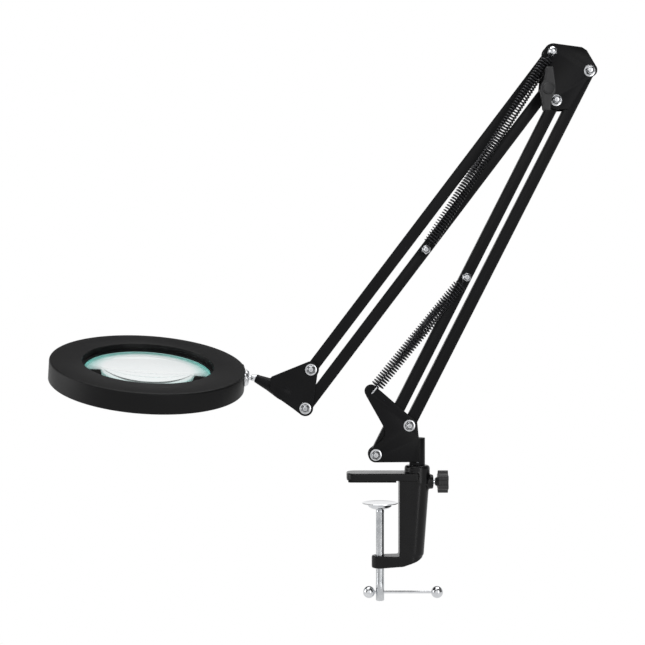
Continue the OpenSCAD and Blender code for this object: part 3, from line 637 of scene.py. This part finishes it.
def coil_path(length, first):
    """The wire's way from its first leg to the far bolt: out to the coil, its turns, and in again."""
    turns = round((length - 2 * HOOK) / PITCH)
    pitch = (length - 2 * HOOK) / turns
    half = STEPS // 2
    path = list(first)
    for k in range(half):
        share = k / half
        path.append((HOOK - LEAD + LEAD * share, -COIL_R * sin(share * pi / 2) * cos(pi * share),
                     -COIL_R * sin(share * pi / 2) * sin(pi * share)))
    for k in range(turns * STEPS + 1):
        angle = 2 * pi * k / STEPS
        path.append((HOOK + pitch * k / STEPS, COIL_R * cos(angle), COIL_R * sin(angle)))
    for k in range(1, half + 1):
        share = 1 - k / half
        reach = COIL_R * sin(share * pi / 2)
        path.append((length - HOOK + LEAD - LEAD * share, reach * cos(pi * (1 - share)),
                     reach * sin(pi * (1 - share))))
    return path + [(length, 0, 0)]


for stem, start, side_body in (("lower_spring", PIVOT["lower_spring_turn"], "lower_inner"),
                               ("upper_spring", elbow_up, "upper_bottom")):
    end = anchor[stem]
    length = (end - start).length / MM
    eye_node = "lower_spring_eyes" if stem == "lower_spring" else "upper_spring_low_eyes"
    for side, y in (("front", -SPRING_Y), ("back", SPRING_Y)):
        spot = spring_frame(start, end, y)
        if stem == "lower_spring":
            first = [(HOOK - 2.6, 0, 0)]
        else:
            first = eye_arc(EYE_R, 35, 338) + [(4.3, -0.75, 0), (5.3, -0.2, 0), (6.4, 0, 0)]
        wire = bent_wire("wire", [spot(*p) for p in coil_path(length, first)], WIRE_R)
        hidden = [f"{stem}_{side}", stem + "_tails"]
        if stem == "upper_spring":
            hidden.append("upper_spring_top_eyes")
        wire = fit(wire, f"{stem}_{side}_coil", spring_wire, None, hidden, smooth=60)
        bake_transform(wire)
        back = spring_frame(end, start, y)
        loop = [back(*p) for p in eye_arc(EYE_R, 25, 335) + [(4.3, -0.6, 0), (5.6, 0, 0)]]
        eye = bent_wire("eye", loop, WIRE_R)
        fit(eye, f"{stem}_{side}_eye", spring_wire, side_body, [eye_node], smooth=60)
        if stem == "lower_spring":
            inward = 1 if y < 0 else -1
            bend = [(HOOK_BEND * (1 - sin(radians(a))), 0, inward * HOOK_BEND * (1 - cos(radians(a))))
                    for a in range(0, 91, 15)]
            path = ([(HOOK + 0.6, 0.8, 0), (HOOK - 0.6, 0, 0)] + bend
                    + [(0, 0, inward * (SPRING_Y - HOOK_END_Y))])
            hook = bent_wire("hook", [spot(*p) for p in path], HOOK_WIRE_R)
            fit(hook, f"lower_spring_{side}_hook", zinc, stem, ["lower_spring_hooks"], smooth=60)

# ---- Elbow ----
# Two cheeks of pressed steel joined by a folded web, powder coated like the base. The springs' upper eyes
# hang on a bolt that ends in a chrome cap nut.
elbow = take_shape("elbow_bracket")
change(elbow, "BEVEL", width=0.32 * MM, segments=2, limit_method="ANGLE", angle_limit=radians(40))
fit(elbow, "elbow_cheeks", powder_coat, "elbow", ["elbow_bracket"])

CAP_END = 21
CAP_R, CAP_MID = 4.3, 17.25
CHEEK_OUT = 7.5
elbow_axis = Matrix.Translation(elbow_up) @ TO_FRONT
cap_bolt = join([hex_block(NUT_R, 1 - CAP_END, 4 - CAP_END),
                 turned("shaft", [(2.5, 3.5 - CAP_END), (2.5, CAP_END - 2.5)])])
cap_bolt.data.transform(elbow_axis)
fit(cap_bolt, "elbow_eye_bolt", zinc, "elbow", ["elbow_bolts"])
for end, flip in (("front", 0), ("back", pi)):
    collar = spacer_tube(CHEEK_OUT, elbow_axis @ Matrix.Rotation(flip, 4, "X"))
    fit(collar, f"elbow_{end}_eye_collar", zinc, "elbow", ["elbow_washers"])
dome = [(CAP_R * cos(radians(a)), CAP_MID + CAP_R * sin(radians(a))) for a in range(6, 88, 9)]
cap_nut = join([hex_block(NUT_R, ANCHOR_OUT, ANCHOR_OUT + 3.4),
                turned("dome", [(3.9, ANCHOR_OUT + 2.9)] + dome)])
cap_nut.data.transform(elbow_axis)
fit(cap_nut, "elbow_cap_nut_piece", chrome, "elbow", ["elbow_cap_nut"])

# ---- Wing knob ----
# An S-shaped wing knob moulded in dark grey nylon round a brass insert. It pinches the elbow's cheeks on the
# upper arm, and its round hub shows as a disc between the two wings.
wing_axis = Matrix.Translation(elbow_low) @ TO_FRONT
HUB_LOW = 8.1
WING_LOW, WING_HIGH = 18.8, 26.4
hub = turned("hub", [(4.2, HUB_LOW), (6, HUB_LOW), (6.2, HUB_LOW + 0.3), (6.2, WING_LOW),
                     (7.2, WING_LOW + 0.8), (7.2, WING_HIGH - 0.8), (6.6, WING_HIGH), (5.9, WING_HIGH)])
bpy.ops.object.select_all(action="DESELECT")
bpy.ops.mesh.primitive_cube_add(size=1, enter_editmode=True)
bpy.ops.transform.resize(value=(14.4 * MM, 6 * MM, (WING_HIGH - WING_LOW) * MM))
bpy.ops.transform.translate(value=(0, 0, (WING_HIGH + WING_LOW) / 2 * MM))
bpy.ops.mesh.select_mode(type="FACE")
wings = bpy.context.object
# Each wing is drawn out in three steps, narrower at each, and leans a little as it goes
for side in (1, -1):
    bpy.ops.mesh.select_all(action="DESELECT")
    bpy.ops.object.mode_set(mode="OBJECT")
    for face in wings.data.polygons:
        face.select = face.normal.y * side > 0.9
    bpy.ops.object.mode_set(mode="EDIT")
    for rise, shift, narrow in ((5, 1.3, 0.74), (6.8, 0.2, 0.79), (6, -0.2, 0.88)):
        stride = (side * shift * MM, side * rise * MM, 0)
        bpy.ops.mesh.extrude_region_move(TRANSFORM_OT_translate={"value": stride})
        bpy.ops.transform.resize(value=(narrow, 1, 1))
bpy.ops.object.mode_set(mode="OBJECT")
bpy.ops.object.transform_apply(location=True, rotation=True, scale=True)
change(wings, "BEVEL", width=1.3 * MM, segments=3, limit_method="ANGLE", angle_limit=radians(30))
knob = join([hub, wings])
change(knob, "REMESH", mode="VOXEL", voxel_size=0.35 * MM)
change(knob, "SMOOTH", factor=0.5, iterations=8)
mark = turned("mark", [(5.7, WING_HIGH - 0.6), (5.7, WING_HIGH + 0.6), (5.2, WING_HIGH + 1),
                       (4.6, WING_HIGH + 0.7), (2, WING_HIGH + 0.6)])
knob = join([knob, mark])
knob.data.transform(wing_axis)
fit(knob, "wing_knob_piece", nylon, "wing", ["wing_knob"], smooth=55)

brass = finish_of("turned_brass", "#a9822f", "#c19a45", 2, (0.22, 0.34), 0.4, 0.005, metallic=1.0)
insert = turned("insert", [(2.56, HUB_LOW), (3.7, HUB_LOW), (3.9, HUB_LOW + 0.3), (3.9, 19), (2.56, 19),
                           (2.56, HUB_LOW)], wing_axis, ring=True)
fit(insert, "wing_brass_insert", brass, "wing", ["wing_insert"])
wing_bolt = turned("bolt", ROUND_HEAD + [(2.5, 20.8), (2.1, 21.3)], wing_axis)
fit(wing_bolt, "wing_knob_bolt", zinc, "elbow", ["wing_bolt"])

# ---- Head bracket ----
# Two cheeks that run forward into one pressed spout, which grips the stem of the ball joint. Pressed from one
# sheet, the spout swells softly out of the cheeks, and it is powder coated.
SPOUT_TIP = (-120.9, 100.3)
SPOUT_SLOPE = radians(26)
bracket = take_shape("head_bracket")
spout = turned("spout", [(2.6, 0), (3.1, 0.2), (3.5, 0.9), (7.6, 22), (8.8, 28), (9, 31), (8.3, 36), (6, 41),
                         (2, 43)],
               Matrix.Translation((SPOUT_TIP[0] * MM, 0, SPOUT_TIP[1] * MM))
               @ Matrix.Rotation(pi / 2 + SPOUT_SLOPE, 4, "Y"))
bracket = join([bracket, spout])
change(bracket, "REMESH", mode="VOXEL", voxel_size=0.42 * MM)
change(bracket, "SMOOTH", factor=0.5, iterations=6)
fit(bracket, "head_bracket_spout", powder_coat, "head_bracket", ["head_bracket"], smooth=60)

# ---- Ball joint ----
# A chrome stem with a ball turned on its end. A spun chrome cup holds the ball in the head's socket, tight
# enough to keep the head where it is put.
HEAD_ROLL = radians(14.9)
HEAD_PITCH = radians(6.1)
HEAD_R = 94.6
BALL_IN = 0.3
BALL_UP = 5.1
BALL_R = 4.5
ball_spot = PIVOT["head_tilt"]
head = (Matrix.Translation(ball_spot) @ Matrix.Rotation(HEAD_PITCH, 4, "Y")
        @ Matrix.Rotation(HEAD_ROLL, 4, "X")
        @ Matrix.Translation((-(HEAD_R - BALL_IN) * MM, 0, -BALL_UP * MM)))
stem_high = SPOUT_TIP[0] + 3.5
ball_x = ball_spot.x / MM
stem_axis = Matrix.Translation((0, 0, ball_spot.z)) @ TO_RIGHT
ball_arc = [(BALL_R * sin(radians(a)), ball_x - BALL_R * cos(radians(a))) for a in range(4, 152, 8)]
stem = turned("stem", ball_arc + [(2.3, ball_x + 4.3), (2.25, ball_x + 6), (2.7, ball_x + 6.4),
                                  (3, ball_x + 6.9), (3, stem_high - 0.4), (2.6, stem_high)],
              stem_axis, sides=48)
fit(stem, "chrome_ball_stem", chrome, "stem", ["ball_stem"])

to_socket = head @ Matrix.Translation(((HEAD_R - BALL_IN) * MM, 0, BALL_UP * MM)) @ TO_RIGHT
cup = turned("cup", [
    (4.9, 0.7), (8.1, 0.7), (8.3, 0.9), (8.3, 1.5), (8.1, 1.75), (7.5, 2.1), (7.2, 3.0), (6.7, 3.6),
    (5.6, 4.15), (4.4, 4.3), (3.95, 4.2), (3.95, 3.4), (4.62, 2.2), (4.9, 0.7)],
    to_socket, sides=72, ring=True)
fit(cup, "chrome_ball_cup", chrome, "head", ["ball_cup"])

# ---- Head housing ----
# A flat ring moulded in black ABS. The mould was spark eroded, so the plastic has a fine even texture and no
# shine. Its top outer edge is slightly rounded, and a ledge inside the opening holds the lens down.
textured_abs = finish_of("textured_abs", "#0e0e0f", "#121213", 30, (0.42, 0.5), 0.45, 0.012, specular=0.18)
OPENING_R = 63.5
HALF = 10.2
EDGE_R = 2
edge = [(HEAD_R - EDGE_R + EDGE_R * cos(radians(a)), HALF - EDGE_R + EDGE_R * sin(radians(a)))
        for a in range(90, -1, -10)]
shell = turned("shell", [
    (HEAD_R, -9.2), (HEAD_R - 0.4, -9.6), (HEAD_R - 1.6, -9.6), (HEAD_R - 2, -9.2), (HEAD_R - 2, 7.2),
    (HEAD_R - 2.8, 8), (OPENING_R + 2.8, 8), (OPENING_R + 2, 7.2), (OPENING_R + 2, -9.2),
    (OPENING_R + 1.6, -9.6), (OPENING_R + 0.3, -9.6), (OPENING_R, -9.3), (OPENING_R, 2.2), (61, 2.2),
    (60.9, 2.4), (60.9, 3.6), (61, 3.8), (OPENING_R, 3.8), (OPENING_R, HALF - 0.8),
    (OPENING_R + 0.25, HALF - 0.25), (OPENING_R + 0.8, HALF)] + edge + [(HEAD_R, -9.2)],
    head, sides=192, ring=True)
socket_hole = turned("socket", [(4.6, -3), (4.6, 3)], to_socket, sides=48)
change(shell, "BOOLEAN", operation="DIFFERENCE", object=socket_hole, solver="EXACT")
bpy.data.objects.remove(socket_hole)
fit(shell, "housing_ring", textured_abs, "head", ["head_housing"])

# ---- Lens ----
# A ground and polished disc of glass, convex on both faces, clear in the middle and sea-green at its edge. It
# drops in from below, and a white ring that lines the tube holds it against the ledge. Its index is set under
# the 1.52 of crown glass, which keeps the dark wedges seen inside its edge small.
LENS_R = 62.8
CLEAR_R = 40
LENS_CURVE = 320
LENS_EDGE = 3
LENS_INDEX = 1.3
# The strength of the teal glow painted onto the white liner ring, which is no lamp
RING_PAINTED_GLOW = 0.45
glass = finish_of("polished_glass", "#f6fbfb", "#fafdfd", 40, (0.0, 0.008), 30, 0.0005)
tree = glass.node_tree
away = add_node(tree, "VectorMath", {0: tree.nodes["Texture Coordinate"].outputs["Object"],
                                     1: tuple(head.translation)}, operation="DISTANCE").outputs["Value"]
rim = add_node(tree, "MapRange", {0: away, 1: CLEAR_R * MM, 2: LENS_R * MM},
               interpolation_type="SMOOTHSTEP").outputs[0]
clear = tree.nodes["Mix"].outputs[2]
tint = add_node(tree, "Mix", {0: rim, 6: clear, 7: linear("#9bd6d0")}, data_type="RGBA")
tree.links.new(tint.outputs[2], tree.nodes["Principled BSDF"].inputs["Base Color"])
tree.nodes["Principled BSDF"].inputs["Transmission Weight"].default_value = 1.0
tree.nodes["Principled BSDF"].inputs["IOR"].default_value = LENS_INDEX
sag = sqrt(LENS_CURVE ** 2 - LENS_R ** 2) - LENS_EDGE / 2
radii = [0.5] + [LENS_R * k / 24 for k in range(1, 24)] + [LENS_R - 0.35]
lower_face = [(r, sag - sqrt(LENS_CURVE ** 2 - r ** 2)) for r in radii]
upper_face = [(r, -z) for r, z in reversed(lower_face)]
lens = turned("lens", lower_face + [(LENS_R, -1.2), (LENS_R, 1.2)] + upper_face, head, sides=144)
fit(lens, "glass_lens", glass, "head", ["lens"], smooth=20)

# The ring is white plastic. It is also given a faint teal glow, though it is no lamp: painted light that
# stands for what scatters in it and in the glass
white_abs_painted_glow = finish_of("white_abs_painted_glow", "#e6e6e3", "#efefed", 20, (0.34, 0.42), 0.6, 0.01)
white_abs_painted_glow.node_tree.nodes["Principled BSDF"].inputs["Emission Color"].default_value = linear("#bfe6e2")
white_abs_painted_glow.node_tree.nodes["Principled BSDF"].inputs["Emission Strength"].default_value = RING_PAINTED_GLOW
liner = turned("liner", [
    (60.5, -9.1), (60.7, -9.3), (63.2, -9.3), (63.4, -9.1), (63.4, 2.1), (62.9, 2.1), (62.9, -3.2),
    (60.7, -3.3), (60.5, -3.5), (60.5, -9.1)], head, sides=144, ring=True)
fit(liner, "lens_liner_ring", white_abs_painted_glow, "head", ["lens_ring"])

# ---- Light ring ----
# A white-lacquered circuit ring carries the small square lamps, each under yellow phosphor. A milky acrylic
# ring with fine prism grooves covers it and closes the underside, held by four cross-head screws.
lacquer = finish_of("white_board_lacquer", "#dcdcd6", "#ecece8", 12, (0.3, 0.42), 1.5, 0.01)
phosphor = finish_of("lamp_phosphor", "#e6cf6a", "#f2e191", 1.5, (0.35, 0.5), 0.3, 0.01)
for node, material in (("led_board", lacquer), ("leds", phosphor)):
    frame["nodes"][node].data.materials.clear()
    frame["nodes"][node].data.materials.append(material)

GROOVE_WIDTH = 0.55
GROOVES = 46
milky = finish_of("milky_acrylic", "#e9e9e6", "#f1f1ee", 25, (0.28, 0.36), 1.2, 0.01)
milky.node_tree.nodes["Principled BSDF"].inputs["Subsurface Weight"].default_value = 0.35
milky.node_tree.nodes["Principled BSDF"].inputs["Subsurface Radius"].default_value = (3 * MM, 3 * MM, 3 * MM)
grooves = [(66.6 + GROOVE_WIDTH * k, -HALF if k % 2 else -9.95) for k in range(GROOVES)]
cover = turned("cover", [(65.8, -6.2), (65.8, -9.9), (66.1, -HALF)] + grooves +
               [(91.9, -HALF), (92.3, -9.9), (92.3, -8.6), (92, -8.4), (67.2, -8.4), (67, -8.2), (67, -6.2),
                (65.8, -6.2)], head, sides=144, ring=True)
fit(cover, "light_cover", milky, "head", ["diffuser"], smooth=15)

dark_zinc = finish_of("dark_zinc_plate", "#4c4e51", "#64666a", 1.5, (0.3, 0.42), 0.4, 0.006, metallic=1.0)
for k in range(4):
    screw = turned("screw", [(1.2, -1), (1.2, -10), (2.2, -10), (2.4, -10.2), (2.4, -10.5), (2.0, -11),
                             (1.2, -11.2), (0.3, -11.2)], sides=32)
    for turn in (0, pi / 2):
        bpy.ops.object.select_all(action="DESELECT")
        bpy.ops.mesh.primitive_cube_add(size=1, location=(0, 0, -11.2 * MM), rotation=(0, 0, turn))
        slit = bpy.context.object
        slit.scale = (0.5 * MM, 2.6 * MM, 1.4 * MM)
        change(screw, "BOOLEAN", operation="DIFFERENCE", object=slit, solver="EXACT")
        bpy.data.objects.remove(slit)
    screw.data.transform(head @ Matrix.Rotation(radians(45 + 90 * k), 4, "Z")
                         @ Matrix.Translation(((HEAD_R - 6) * MM, 0, -0.2 * MM)))
    fit(screw, f"cover_screw_{k + 1}", dark_zinc, "head", ["head_screws"])

# ---- Cord gland ----
# A ribbed sleeve of soft black rubber, pushed into the side of the housing, where the lead would come out.
# Its ribs let it bend with the lead.
GLAND_TURN = radians(28)
gland_place = (head @ Matrix.Rotation(GLAND_TURN, 4, "Z") @ Matrix.Translation(((HEAD_R - 5) * MM, 0, 0))
               @ TO_RIGHT)
ribbed = [(2.6, 0), (4, 0), (4, 5.1), (5.2, 5.1), (5.2, 5.9)]
for k in range(4):
    rise = 6.3 + 1.2 * k
    outer = 5.0 - 0.2 * k
    ribbed += [(outer - 0.8, rise - 0.3), (outer - 0.8, rise + 0.1), (outer, rise + 0.3), (outer, rise + 0.7)]
gland = turned("gland", ribbed + [(4.1, 11.1), (2.8, 11.1), (2.6, 10.9), (2.6, 0)], gland_place, sides=48,
               ring=True)
fit(gland, "cord_gland_sleeve", rubber, "head", ["cord_gland"])
